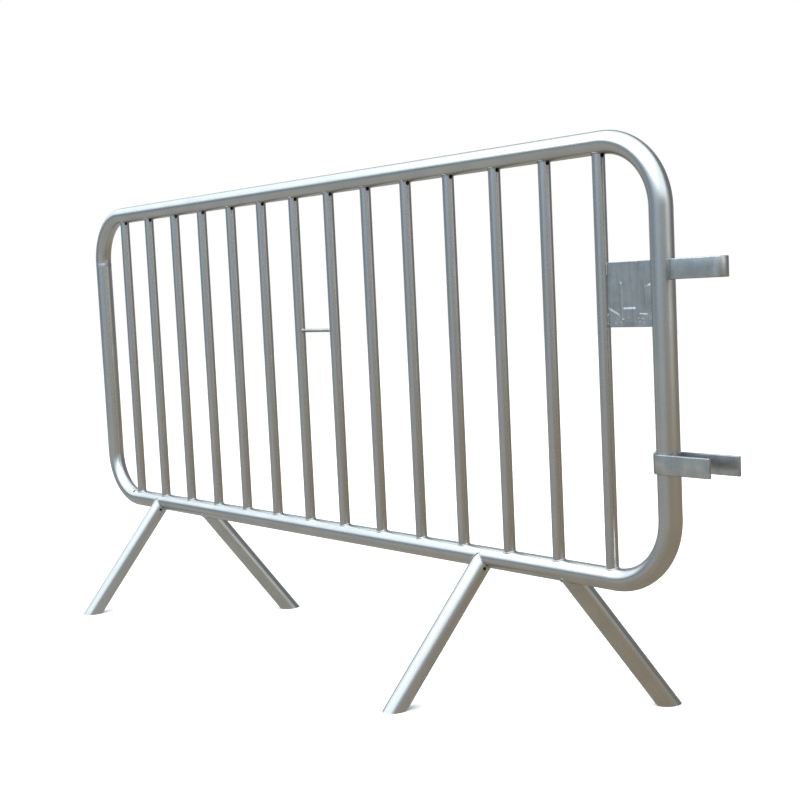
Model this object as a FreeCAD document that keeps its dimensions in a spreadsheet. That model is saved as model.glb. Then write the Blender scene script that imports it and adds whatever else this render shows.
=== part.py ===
import FreeCAD, Part

import math
import os

import Sketcher

# A fixed-leg crowd control barrier: one bent round tube closed into a rounded rectangle, round infill
# bars coped and welded between its rails, four splayed legs, and a hook and a clip for the next barrier.
# The panel stands in the XZ plane. The pieces are built about the panel's middle, and each one's
# Placement then moves it so that the origin is on the ground, under the middle of the whole barrier.

SIZES = [
    # name, value in mm (or a plain number), what it is
    ("panel_length", 2000, "outside of one post to outside of the other"),
    ("overall_height", 1100, "ground to the top of the top rail"),
    ("rail_height", 289, "ground to the bottom rail's axis"),
    ("tube_diameter", 42.4, "frame tube, outside"),
    ("tube_wall", 1.5, "frame tube, wall"),
    ("corner_radius", 124, "frame bends, at the tube's axis"),
    ("drain_diameter", 7, "zinc drain holes in two opposite bends"),
    ("drain_turn", 8, "degrees from the rail to a drain hole, round the bend"),
    ("drain_tilt", 35, "degrees that a drain hole leans out of the panel's plane"),
    ("butt_weld_drop", 6, "top-left bend's end to the weld that closes the tube"),
    ("bar_count", 14, "infill bars, an even number"),
    ("bar_diameter", 24, "infill bar, outside"),
    ("bar_wall", 1.2, "infill bar, wall"),
    ("end_gap", 133.8, "post axis to the nearest bar's axis"),
    ("bar_vent_diameter", 8, "zinc vent hole that notches each bar's top end"),
    ("bar_vent_drop", 23, "top rail's axis to a bar's vent hole"),
    ("vent_turn", 14, "degrees that the vent holes turn out of the panel's plane"),
    ("weld_leg", 3, "fillet weld size at the bars, the legs and the fittings"),
    ("leg_diameter", 42.4, "leg tube, outside"),
    ("leg_wall", 2, "leg tube, wall"),
    ("leg_inset", 244, "post axis to the outer leg's top"),
    ("leg_pair_gap", 220, "outer leg's top to the inner leg's top"),
    ("leg_spread", 191, "panel's plane to a foot's middle"),
    ("leg_lean", 82, "how far a foot stands sideways from its leg's top"),
    ("leg_vent_diameter", 7, "zinc vent hole near each leg's top"),
    ("leg_vent_drop", 24, "leg's top, at the rail's axis, to its vent hole"),
    ("pin_diameter", 8, "cross pin between the two middle bars"),
    ("pin_drop", 326, "top rail's axis to the cross pin"),
    ("plate_height", 116, "identification plate"),
    ("plate_thickness", 3, "identification plate"),
    ("plate_drop", 213, "top rail's axis to the plate's top edge"),
    ("plate_stitch", 24, "length of each weld stitch on the plate"),
    ("strip_height", 35, "flat bar of the hook and the clip"),
    ("strip_thickness", 5, "flat bar of the hook and the clip"),
    ("hook_drop", 231, "top rail's axis to the hook's middle"),
    ("hook_root_setback", 4, "panel's plane to the hook's root, towards the front"),
    ("hook_reach", 116, "post surface to the far side of the hook's curled end"),
    ("hook_curl", 12, "inside radius of the hook's curled end"),
    ("hook_lip", 8, "straight end of the hook after the curl"),
    ("hook_knee", 6, "inside radius of the bend near the hook's root"),
    ("clip_rise", 223, "bottom rail's axis to the clip's middle"),
    ("clip_slack", 1.3, "room beside a post in the clip's slot"),
    ("clip_front_reach", 103, "post axis to the end of the clip's front arm"),
    ("clip_rear_reach", 128, "post axis to the end of the clip's rear arm"),
    ("clip_weld_turn", 100, "degrees round the post that each of the clip's welds covers"),
]

doc = FreeCAD.newDocument("barrier")
sheet = doc.addObject("Spreadsheet::Sheet", "Sizes")
for row, (name, value, meaning) in enumerate(SIZES, start=1):
    sheet.set(f"A{row}", name)
    sheet.set(f"B{row}", str(value))
    sheet.set(f"C{row}", meaning)
    sheet.setAlias(f"B{row}", name)
doc.recompute()


def size(name):
    """A driving size's value."""
    return float(sheet.get(name))


# Places that several pieces share, as expressions on the sheet.
TUBE_R = "(Sizes.tube_diameter / 2)"
BAR_R = "(Sizes.bar_diameter / 2)"
LEG_R = "(Sizes.leg_diameter / 2)"
POST_X = f"(Sizes.panel_length / 2 - {TUBE_R})"
TOP_Z = f"(Sizes.overall_height - {TUBE_R})"
LOW_Z = "Sizes.rail_height"
BAR_PITCH = f"((2 * {POST_X} - 2 * Sizes.end_gap) / (Sizes.bar_count - 1))"
LAST_BAR_X = f"({POST_X} - Sizes.end_gap)"
PLATE_TOP = f"({TOP_Z} - Sizes.plate_drop)"
PLATE_LOW = f"({PLATE_TOP} - Sizes.plate_height)"
HOOK_Z = f"({TOP_Z} - Sizes.hook_drop)"
CLIP_Z = f"({LOW_Z} + Sizes.clip_rise)"
BUTT_PROUD = "(Sizes.weld_leg / 4)"
# The hook reaches past the right post, and the butt weld stands proud of the left one, so the
# barrier's middle lies right of the panel's middle.
SHIFT_X = f"((({BUTT_PROUD}) - Sizes.hook_reach) / 2)"

parts = []


def bind(target, **formulas):
    """Bind properties of an object to formulas; an underscore in a name stands for a dot."""
    for name, formula in formulas.items():
        target.setExpression(name.replace("_", "."), str(formula))


def finish(target, label):
    """Name a finished sub-part and move it from the panel's frame into the barrier's."""
    target.Label = label
    bind(target, Placement_Base_x=SHIFT_X)
    parts.append(target)
    return target


def cylinder(name, radius, height, x=0, y=0, z=0):
    """An upright cylinder."""
    made = doc.addObject("Part::Cylinder", name)
    bind(made, Radius=radius, Height=height, Placement_Base_x=x, Placement_Base_y=y, Placement_Base_z=z)
    return made


def turned_cylinder(name, radius, height, base, toward):
    """A cylinder from base along the vector toward, both given as three formulas."""
    made = cylinder(name, radius, height, *base)
    across, along, up = toward
    flat = f"sqrt(({across})^2 + ({along})^2)"
    bind(made, Placement_Rotation_Axis_x=f"0 - ({along})", Placement_Rotation_Axis_y=across,
         Placement_Rotation_Axis_z=0, Placement_Rotation_Angle=f"atan2({flat}; {up})")
    return made


def fuse(name, pieces):
    """Several pieces as one tool."""
    made = doc.addObject("Part::MultiFuse", name)
    made.Shapes = pieces
    return made


def cut(name, base, tool):
    """Base without tool."""
    made = doc.addObject("Part::Cut", name)
    made.Base = base
    made.Tool = tool
    return made


def common(name, base, tool):
    """What base and tool share."""
    made = doc.addObject("Part::Common", name)
    made.Base = base
    made.Tool = tool
    return made


def origin_plane(body, role):
    """One of a body's own origin planes."""
    return next(plane for plane in body.Origin.OriginFeatures if plane.Role == role)


def flat_sketch(owner, name, role):
    """A sketch on one of a body's origin planes."""
    sketch = owner.newObject("Sketcher::SketchObject", name)
    sketch.AttachmentSupport = [(origin_plane(owner, role), "")]
    sketch.MapMode = "FlatFace"
    return sketch


def hold(sketch, kind, *places, formula=None, start=1.0):
    """Add a constraint and, where it has a size, bind it to a formula."""
    if formula is None:
        return sketch.addConstraint(Sketcher.Constraint(kind, *places))
    index = sketch.addConstraint(Sketcher.Constraint(kind, *places, start))
    sketch.setExpression(f"Constraints[{index}]", str(formula))
    return index


# Envelopes: the outside of each long tube as a plain solid, to cope and trim what meets it.
rail_length = "Sizes.panel_length"
rail_start = "0 - Sizes.panel_length / 2"
along_x = (1, 0, 0)
low_rail = turned_cylinder("low_rail", TUBE_R, rail_length, (rail_start, 0, LOW_Z), along_x)
top_rail = turned_cylinder("top_rail", TUBE_R, rail_length, (rail_start, 0, TOP_Z), along_x)
right_post = cylinder("right_post", TUBE_R, f"{TOP_Z} - {LOW_Z}", POST_X, 0, LOW_Z)
left_post = cylinder("left_post", TUBE_R, f"{TOP_Z} - {LOW_Z}", f"0 - {POST_X}", 0, LOW_Z)


def make_frame_tube():
    """The bent tube: a ring swept round a rounded rectangle, with two zinc drain holes."""
    body = doc.addObject("PartDesign::Body", "frame_body")
    path = flat_sketch(body, "frame_path", "XZ_Plane")
    half = size("panel_length") / 2 - size("tube_diameter") / 2
    low = size("rail_height")
    top = size("overall_height") - size("tube_diameter") / 2
    bend = size("corner_radius")
    line = Part.LineSegment
    point = FreeCAD.Vector
    for start, end in (((-half + bend, low), (half - bend, low)), ((half, low + bend), (half, top - bend)),
                       ((half - bend, top), (-half + bend, top)), ((-half, top - bend), (-half, low + bend))):
        path.addGeometry(line(point(*start, 0), point(*end, 0)), False)
    for x, z, quarter in ((half - bend, low + bend, 3), (half - bend, top - bend, 0),
                          (-half + bend, top - bend, 1), (-half + bend, low + bend, 2)):
        circle = Part.Circle(point(x, z, 0), point(0, 0, 1), bend)
        path.addGeometry(Part.ArcOfCircle(circle, quarter * math.pi / 2, (quarter + 1) * math.pi / 2), False)
    for side in range(4):
        hold(path, "Tangent", side, 2, side + 4, 1)
        hold(path, "Tangent", side + 4, 2, (side + 1) % 4, 1)
    hold(path, "Horizontal", 0)
    hold(path, "Horizontal", 2)
    hold(path, "Vertical", 1)
    hold(path, "Vertical", 3)
    for other in (5, 6, 7):
        hold(path, "Equal", 4, other)
    hold(path, "Radius", 4, formula="Sizes.corner_radius", start=bend)
    hold(path, "DistanceX", -1, 1, 1, 1, formula=POST_X, start=half)
    hold(path, "DistanceX", 3, 1, -1, 1, formula=POST_X, start=half)
    hold(path, "DistanceY", -1, 1, 0, 1, formula=LOW_Z, start=low)
    hold(path, "DistanceY", -1, 1, 2, 1, formula=TOP_Z, start=top)

    for name, kind, radius in (("frame_outside", "AdditivePipe", TUBE_R),
                               ("frame_bore", "SubtractivePipe", f"{TUBE_R} - Sizes.tube_wall")):
        ring = flat_sketch(body, f"{name}_ring", "YZ_Plane")
        ring.addGeometry(Part.Circle(point(0, low, 0), point(0, 0, 1), size("tube_diameter") / 2), False)
        hold(ring, "PointOnObject", 0, 3, -2)
        hold(ring, "DistanceY", -1, 1, 0, 3, formula=LOW_Z, start=low)
        hold(ring, "Radius", 0, formula=radius, start=size("tube_diameter") / 2)
        doc.recompute()
        pipe = body.newObject(f"PartDesign::{kind}", name)
        pipe.Profile = ring
        pipe.Spine = path
        doc.recompute()

    drains = []
    for name, side, level, front in (("low_drain", -1, -1, -1), ("high_drain", 1, 1, 1)):
        bend_x = f"{side} * ({POST_X} - Sizes.corner_radius)"
        bend_z = f"({LOW_Z} + Sizes.corner_radius)" if level < 0 else f"({TOP_Z} - Sizes.corner_radius)"
        out_x = f"{side} * sin(Sizes.drain_turn * 1deg)"
        out_z = f"{level} * cos(Sizes.drain_turn * 1deg)"
        base = (f"{bend_x} + Sizes.corner_radius * {out_x}", 0, f"{bend_z} + Sizes.corner_radius * {out_z}")
        toward = (f"0 - {out_x} * cos(Sizes.drain_tilt * 1deg)", f"{front} * sin(Sizes.drain_tilt * 1deg)",
                  f"0 - {out_z} * cos(Sizes.drain_tilt * 1deg)")
        drains.append(turned_cylinder(name, "Sizes.drain_diameter / 2", "Sizes.tube_diameter", base, toward))
    finish(cut("frame_cut", body, fuse("frame_drains", drains)), "frame_tube")


def make_butt_weld():
    """The bead that closes the bent tube, round the left post just under its top bend."""
    bead = doc.addObject("Part::Torus", "butt_bead")
    bind(bead, Radius1=f"{TUBE_R} - {BUTT_PROUD}", Radius2=f"2 * {BUTT_PROUD}",
         Placement_Base_x=f"0 - {POST_X}",
         Placement_Base_z=f"{TOP_Z} - Sizes.corner_radius - Sizes.butt_weld_drop")
    finish(cut("butt_cut", bead, left_post), "frame_butt_weld")


def make_bars():
    """The infill bars: tubes coped at both rails, each with a vent hole, and their rings of weld."""
    solids = []
    collars = []
    vents = []
    count = int(size("bar_count"))
    vent_way = ("cos(Sizes.vent_turn * 1deg)", "0 - sin(Sizes.vent_turn * 1deg)", 0)
    length = f"{TOP_Z} - {LOW_Z}"
    for index in range(count):
        label = f"infill_bar_{index + 1:02d}"
        x = f"({BAR_PITCH} * {index} - {LAST_BAR_X})"
        solid = cylinder(f"{label}_solid", BAR_R, length, x, 0, LOW_Z)
        bore = cylinder(f"{label}_bore", f"{BAR_R} - Sizes.bar_wall", length, x, 0, LOW_Z)
        vent = turned_cylinder(f"{label}_vent", "Sizes.bar_vent_diameter / 2", "Sizes.bar_diameter",
                               (x, 0, f"{TOP_Z} - Sizes.bar_vent_drop"), vent_way)
        tools = fuse(f"{label}_tools", [bore, vent, low_rail, top_rail])
        finish(cut(f"{label}_cut", solid, tools), label)
        solids.append(solid)
        vents.append(vent)
        collars.append(cylinder(f"{label}_collar", f"{BAR_R} + Sizes.weld_leg", length, x, 0, LOW_Z))
    all_collars = fuse("bar_collars", collars)
    all_bars = fuse("bar_solids", solids)
    open_collars = cut("bar_open_collars", all_collars, fuse("bar_vents", vents))
    for label, rail, level in (("bar_welds_top", top_rail, TOP_Z), ("bar_welds_bottom", low_rail, LOW_Z)):
        band = turned_cylinder(f"{label}_band", f"{TUBE_R} + Sizes.weld_leg", rail_length,
                               (rail_start, 0, level), along_x)
        ring = common(f"{label}_ring", open_collars, band)
        finish(cut(f"{label}_cut", ring, fuse(f"{label}_tools", [all_bars, rail])), label)
    return solids


def make_cross_pin(bars):
    """The thin pin between the two middle bars, and the rings of weld at its ends."""
    middle = len(bars) // 2
    pair = fuse("pin_bars", [bars[middle - 1], bars[middle]])
    start = (f"0 - {BAR_PITCH} / 2", 0, f"{TOP_Z} - Sizes.pin_drop")
    rod = turned_cylinder("pin_rod", "Sizes.pin_diameter / 2", BAR_PITCH, start, along_x)
    finish(cut("pin_cut", rod, pair), "cross_pin")
    reach = "Sizes.weld_leg / 2"
    collar = turned_cylinder("pin_collar", f"Sizes.pin_diameter / 2 + {reach}", BAR_PITCH, start, along_x)
    bands = []
    for side in (-1, 1):
        bands.append(cylinder(f"pin_band_{side + 2}", f"{BAR_R} + {reach}", f"{TOP_Z} - {LOW_Z}",
                              f"{side} * {BAR_PITCH} / 2", 0, LOW_Z))
    ring = common("pin_ring", collar, fuse("pin_bands", bands))
    finish(cut("pin_weld_cut", ring, fuse("pin_weld_tools", [pair, rod])), "cross_pin_welds")


def make_plate(last_bar):
    """The identification plate between the last bar and the right post, and its weld stitches."""
    body = doc.addObject("PartDesign::Body", "plate_body")
    outline = flat_sketch(body, "plate_outline", "XZ_Plane")
    left = size("panel_length") / 2 - size("tube_diameter") / 2 - size("end_gap")
    right = size("panel_length") / 2 - size("tube_diameter") / 2
    top = size("overall_height") - size("tube_diameter") / 2 - size("plate_drop")
    low = top - size("plate_height")
    point = FreeCAD.Vector
    corners = [point(left, low, 0), point(right, low, 0), point(right, top, 0), point(left, top, 0)]
    for index in range(4):
        outline.addGeometry(Part.LineSegment(corners[index], corners[(index + 1) % 4]), False)
    for index in range(4):
        hold(outline, "Coincident", index, 2, (index + 1) % 4, 1)
    for index in (0, 2):
        hold(outline, "Horizontal", index)
        hold(outline, "Vertical", index + 1)
    hold(outline, "DistanceX", -1, 1, 0, 1, formula=LAST_BAR_X, start=left)
    hold(outline, "DistanceX", -1, 1, 1, 1, formula=POST_X, start=right)
    hold(outline, "DistanceY", -1, 1, 0, 1, formula=PLATE_LOW, start=low)
    hold(outline, "DistanceY", -1, 1, 2, 1, formula=PLATE_TOP, start=top)
    pad = body.newObject("PartDesign::Pad", "plate_pad")
    pad.Profile = outline
    pad.Midplane = True
    bind(pad, Length="Sizes.plate_thickness")
    doc.recompute()
    walls = fuse("plate_walls", [last_bar, right_post])
    finish(cut("plate_cut", body, walls), "id_plate")

    beads = []
    for face in (-1, 1):
        for level, low_end in enumerate((PLATE_LOW, f"({PLATE_TOP} - Sizes.plate_stitch)")):
            for side, x in enumerate((f"{LAST_BAR_X} + {BAR_R}", f"{POST_X} - {TUBE_R}")):
                beads.append(cylinder(f"plate_bead_{face + 1}{level}{side}", "Sizes.weld_leg",
                                      "Sizes.plate_stitch", x, f"{face} * Sizes.plate_thickness / 2", low_end))
    tools = fuse("plate_bead_tools", [last_bar, right_post, body])
    finish(cut("plate_bead_cut", fuse("plate_beads", beads), tools), "id_plate_welds")


def strip(name, path, middle_z, side):
    """A flat bar bent in plan: the line of its inner face, thickened to one side (1 or -1) and drawn up."""
    face = doc.addObject("Part::Offset2D", f"{name}_face")
    face.Source = path
    face.Mode = "Skin"
    face.Join = "Intersection"
    face.Fill = True
    bind(face, Value=f"{side} * Sizes.strip_thickness")
    bar = doc.addObject("Part::Extrusion", f"{name}_bar")
    bar.Base = face
    bar.DirMode = "Custom"
    bar.Dir = FreeCAD.Vector(0, 0, 1)
    bar.Solid = True
    bind(bar, LengthFwd="Sizes.strip_height", Placement_Base_z=f"{middle_z} - Sizes.strip_height / 2")
    return bar


def make_clip():
    """The lower clip: a flat bar bent round the right post, with a slot for the next barrier's post."""
    inner = size("tube_diameter") / 2 + size("clip_slack")
    post = size("panel_length") / 2 - size("tube_diameter") / 2
    centre = post + size("clip_slack")
    front_end = post + size("clip_front_reach")
    rear_end = post + size("clip_rear_reach")
    point = FreeCAD.Vector
    path = doc.addObject("Sketcher::SketchObject", "clip_path")
    path.addGeometry(Part.LineSegment(point(front_end, -inner, 0), point(centre, -inner, 0)), False)
    circle = Part.Circle(point(centre, 0, 0), point(0, 0, 1), inner)
    path.addGeometry(Part.ArcOfCircle(circle, math.pi / 2, 3 * math.pi / 2), False)
    path.addGeometry(Part.LineSegment(point(centre, inner, 0), point(rear_end, inner, 0)), False)
    hold(path, "Tangent", 0, 2, 1, 2)
    hold(path, "Tangent", 1, 1, 2, 1)
    hold(path, "Horizontal", 0)
    hold(path, "Horizontal", 2)
    hold(path, "PointOnObject", 1, 3, -1)
    hold(path, "Radius", 1, formula=f"{TUBE_R} + Sizes.clip_slack", start=inner)
    hold(path, "DistanceX", -1, 1, 1, 3, formula=f"{POST_X} + Sizes.clip_slack", start=centre)
    hold(path, "DistanceX", -1, 1, 0, 1, formula=f"{POST_X} + Sizes.clip_front_reach", start=front_end)
    hold(path, "DistanceX", -1, 1, 2, 2, formula=f"{POST_X} + Sizes.clip_rear_reach", start=rear_end)
    doc.recompute()
    finish(strip("clip", path, CLIP_Z, -1), "coupling_clip")

    beads = []
    for side in (-1, 1):
        bead = doc.addObject("Part::Torus", f"clip_bead_{side + 1}")
        bind(bead, Radius1=TUBE_R, Radius2="Sizes.weld_leg", Placement_Base_x=POST_X,
             Placement_Base_z=f"{CLIP_Z} + {side} * Sizes.strip_height / 2",
             Angle3="Sizes.clip_weld_turn", Placement_Rotation_Angle="180 - Sizes.clip_weld_turn / 2")
        beads.append(bead)
    plain_clip = strip("clip_copy", path, CLIP_Z, -1)
    tools = fuse("clip_weld_tools", [right_post, plain_clip])
    finish(cut("clip_weld_cut", fuse("clip_beads", beads), tools), "coupling_clip_welds")


def make_hook():
    """The upper hook: a flat bar from the right post's side, kneed to the front, its end curled back."""
    thick = size("strip_thickness")
    tube_r = size("tube_diameter") / 2
    post = size("panel_length") / 2 - tube_r
    knee = size("hook_knee")
    curl = size("hook_curl")
    root_x = post + tube_r / 2
    root_y = tube_r / 2 - size("hook_root_setback")
    front = -tube_r - size("clip_slack")
    slant = math.sqrt(0.5) * knee
    knee_x = root_x + root_y - (front + knee - slant) + slant
    curl_x = post + tube_r + size("hook_reach") - curl - thick
    point = FreeCAD.Vector
    up = point(0, 0, 1)
    path = doc.addObject("Sketcher::SketchObject", "hook_path")
    path.addGeometry(Part.LineSegment(point(root_x, root_y, 0),
                                      point(knee_x - slant, front + knee - slant, 0)), False)
    knee_circle = Part.Circle(point(knee_x, front + knee, 0), up, knee)
    path.addGeometry(Part.ArcOfCircle(knee_circle, -3 * math.pi / 4, -math.pi / 2), False)
    path.addGeometry(Part.LineSegment(point(knee_x, front, 0), point(curl_x, front, 0)), False)
    curl_circle = Part.Circle(point(curl_x, front + curl, 0), up, curl)
    path.addGeometry(Part.ArcOfCircle(curl_circle, -math.pi / 2, math.pi / 2), False)
    path.addGeometry(Part.LineSegment(point(curl_x, front + 2 * curl, 0),
                                      point(curl_x - size("hook_lip"), front + 2 * curl, 0)), False)
    for piece in range(4):
        hold(path, "Tangent", piece, 2, piece + 1, 1)
    hold(path, "Horizontal", 2)
    hold(path, "Horizontal", 4)
    hold(path, "DistanceX", -1, 1, 0, 1, formula=f"{POST_X} + {TUBE_R} / 2", start=root_x)
    hold(path, "DistanceY", -1, 1, 0, 1, formula=f"{TUBE_R} / 2 - Sizes.hook_root_setback", start=root_y)
    hold(path, "Angle", 0, formula="0 deg - 45 deg", start=-math.pi / 4)
    hold(path, "DistanceY", 2, 1, -1, 1, formula=f"{TUBE_R} + Sizes.clip_slack", start=-front)
    hold(path, "Radius", 1, formula="Sizes.hook_knee", start=knee)
    hold(path, "Radius", 3, formula="Sizes.hook_curl", start=curl)
    hold(path, "DistanceX", -1, 1, 3, 3, start=curl_x,
         formula=f"{POST_X} + {TUBE_R} + Sizes.hook_reach - Sizes.hook_curl - Sizes.strip_thickness")
    hold(path, "DistanceX", 4, 2, 4, 1, formula="Sizes.hook_lip", start=size("hook_lip"))
    doc.recompute()
    bar = strip("hook", path, HOOK_Z, 1)
    finish(cut("hook_cut", bar, right_post), "coupling_hook")

    block = doc.addObject("Part::Box", "hook_weld_block")
    inset = "(Sizes.strip_thickness + Sizes.weld_leg) * cos(45 deg)"
    bind(block, Length="Sizes.tube_diameter", Width="Sizes.strip_thickness + 2 * Sizes.weld_leg",
         Height="Sizes.strip_height + Sizes.weld_leg", Placement_Rotation_Angle="0 deg - 45 deg",
         Placement_Base_x=f"{POST_X} + {TUBE_R} / 2 - {inset}",
         Placement_Base_y=f"{TUBE_R} / 2 - Sizes.hook_root_setback - {inset}",
         Placement_Base_z=f"{HOOK_Z} - (Sizes.strip_height + Sizes.weld_leg) / 2")
    band = cylinder("hook_weld_band", f"{TUBE_R} + Sizes.weld_leg", "Sizes.strip_height * 2",
                    POST_X, 0, f"{HOOK_Z} - Sizes.strip_height")
    ring = common("hook_weld_ring", block, band)
    finish(cut("hook_weld_cut", ring, fuse("hook_weld_tools", [bar, right_post])), "coupling_hook_weld")


def make_legs():
    """The four legs: tubes coped under the bottom rail and cut flat at the ground, and their welds."""
    ground = doc.addObject("Part::Box", "ground")
    bind(ground, Length="Sizes.panel_length * 2", Width="Sizes.panel_length",
         Height="Sizes.leg_diameter * 2",
         Placement_Base_x="0 - Sizes.panel_length", Placement_Base_y="0 - Sizes.panel_length / 2",
         Placement_Base_z="0 - Sizes.leg_diameter * 2")
    beads = []
    # Seen from the front: the outer leg of one pair and the inner leg of the other stand forward.
    for label, side, outer, face in (("leg_front_left", -1, True, -1), ("leg_rear_left", -1, False, 1),
                                     ("leg_front_right", 1, False, -1), ("leg_rear_right", 1, True, 1)):
        inset = "Sizes.leg_inset" if outer else "(Sizes.leg_inset + Sizes.leg_pair_gap)"
        top = (f"{side} * ({POST_X} - {inset})", 0, LOW_Z)
        lean = side if outer else -side
        slope = (f"{lean} * Sizes.leg_lean", f"{face} * Sizes.leg_spread", f"0 - {LOW_Z}")
        slant = f"sqrt(Sizes.leg_lean^2 + Sizes.leg_spread^2 + {LOW_Z}^2)"
        reach = f"{slant} + Sizes.leg_diameter"
        solid = turned_cylinder(f"{label}_solid", LEG_R, reach, top, slope)
        bore = turned_cylinder(f"{label}_bore", f"{LEG_R} - Sizes.leg_wall", reach, top, slope)
        share = f"Sizes.leg_vent_drop / {slant}"
        vent_way = (f"{-face} * cos(Sizes.vent_turn * 1deg)", f"{face} * sin(Sizes.vent_turn * 1deg)", 0)
        hole_place = (f"{top[0]} + {slope[0]} * {share}", f"{slope[1]} * {share}",
                      f"{LOW_Z} + ({slope[2]}) * {share}")
        vent = turned_cylinder(f"{label}_vent", "Sizes.leg_vent_diameter / 2", "Sizes.leg_diameter",
                               hole_place, vent_way)
        tools = fuse(f"{label}_tools", [bore, vent, low_rail, ground])
        finish(cut(f"{label}_cut", solid, tools), label)

        collar = turned_cylinder(f"{label}_collar", f"{LEG_R} + Sizes.weld_leg", "Sizes.leg_diameter * 2",
                                 top, slope)
        band = turned_cylinder(f"{label}_band", f"{TUBE_R} + Sizes.weld_leg", "Sizes.leg_diameter * 4",
                               (f"{top[0]} - Sizes.leg_diameter * 2", 0, LOW_Z), along_x)
        ring = common(f"{label}_ring", cut(f"{label}_open_collar", collar, vent), band)
        beads.append(cut(f"{label}_bead", ring, fuse(f"{label}_bead_tools", [solid, low_rail])))
    finish(fuse("leg_beads", beads), "leg_welds")


make_frame_tube()
make_butt_weld()
bar_solids = make_bars()
make_cross_pin(bar_solids)
make_plate(bar_solids[-1])
make_clip()
make_hook()
make_legs()
doc.recompute()

for item in doc.Objects:
    if "Invalid" in item.State or "Error" in item.State:
        raise RuntimeError(f"{item.Name} did not build: {item.State}")
for item in parts:
    if item.Shape.isNull() or not item.Shape.isValid():
        raise RuntimeError(f"{item.Label} has no valid shape")

os.makedirs("parts", exist_ok=True)
for item in parts:
    item.Shape.exportStep(f"parts/{item.Label}.step")
    print(item.Label, len(item.Shape.Solids), round(item.Shape.Volume), item.Shape.BoundBox)
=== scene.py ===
import math

import bmesh
import bpy
from mathutils import Matrix, Vector, noise


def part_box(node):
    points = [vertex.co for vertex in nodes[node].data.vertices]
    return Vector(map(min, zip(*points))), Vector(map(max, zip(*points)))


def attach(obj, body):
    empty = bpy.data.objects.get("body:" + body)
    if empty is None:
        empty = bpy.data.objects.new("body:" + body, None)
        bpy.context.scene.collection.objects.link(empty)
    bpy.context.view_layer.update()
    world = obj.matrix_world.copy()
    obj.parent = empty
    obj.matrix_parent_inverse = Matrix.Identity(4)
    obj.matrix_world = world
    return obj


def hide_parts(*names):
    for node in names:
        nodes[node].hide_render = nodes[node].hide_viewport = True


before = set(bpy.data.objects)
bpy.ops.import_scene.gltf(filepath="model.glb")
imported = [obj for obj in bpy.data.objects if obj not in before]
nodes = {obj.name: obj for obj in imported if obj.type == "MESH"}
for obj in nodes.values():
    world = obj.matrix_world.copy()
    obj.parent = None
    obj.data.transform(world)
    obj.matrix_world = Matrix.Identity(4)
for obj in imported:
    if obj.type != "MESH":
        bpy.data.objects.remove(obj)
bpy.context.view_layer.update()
scene = bpy.context.scene
scene.view_settings.view_transform = "Standard"
fullTurn = 2 * math.pi
print("frame loaded:", len(nodes), "nodes")


# every steel piece is dipped in the same zinc, so one recipe makes all the finishes
zinc = {
    "tube": {
        "light": (0.59, 0.60, 0.60), "dull": (0.51, 0.52, 0.52),
        "rough": 0.24, "patch": 14, "spangle": 150, "wave": 0.05,
    },
    "bar": {
        "light": (0.56, 0.56, 0.56), "dull": (0.48, 0.48, 0.48),
        "rough": 0.25, "patch": 14, "spangle": 190, "wave": 0.035,
    },
    "flat": {
        "light": (0.60, 0.61, 0.62), "dull": (0.32, 0.36, 0.39),
        "rough": 0.29, "patch": 36, "spangle": 130, "wave": 0.20,
    },
    "weld": {
        "light": (0.46, 0.47, 0.47), "dull": (0.32, 0.32, 0.32),
        "rough": 0.46, "patch": 60, "spangle": 260, "wave": 0.3,
    },
    "sawn": {
        "light": (0.26, 0.27, 0.28), "dull": (0.19, 0.20, 0.20),
        "rough": 0.45, "patch": 60, "spangle": 260, "wave": 0.1,
    },
}
zincSkin = {
    "draw": (190.0, 5.0, 1.0),      # how fine the draw marks are, round the piece and along it
    "drawShare": 0.45,              # draw marks against patches
    "crystalShare": 0.03,
    "dullAt": 0.34, "lightAt": 0.60,
    "roughFrom": 0.3, "roughTo": 0.7, "dullRougher": 0.06, "lightSmoother": 0.03,
    "waveScale": 30.0, "waveDepth": 0.002,
    "grainScale": 400.0, "grain": 0.015, "grainDepth": 0.0003,
}


def addNode(tree, kind, **values):
    node = tree.nodes.new(kind)
    for name, value in values.items():
        if hasattr(node, name):
            setattr(node, name, value)
        else:
            node.inputs[name.replace("_", " ")].default_value = value
    return node


def mixFloat(tree, factor, a, b):
    node = addNode(tree, "ShaderNodeMix", data_type="FLOAT")
    node.inputs["Factor"].default_value = factor
    tree.links.new(a, node.inputs["A"])
    tree.links.new(b, node.inputs["B"])
    return node.outputs["Result"]


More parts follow.
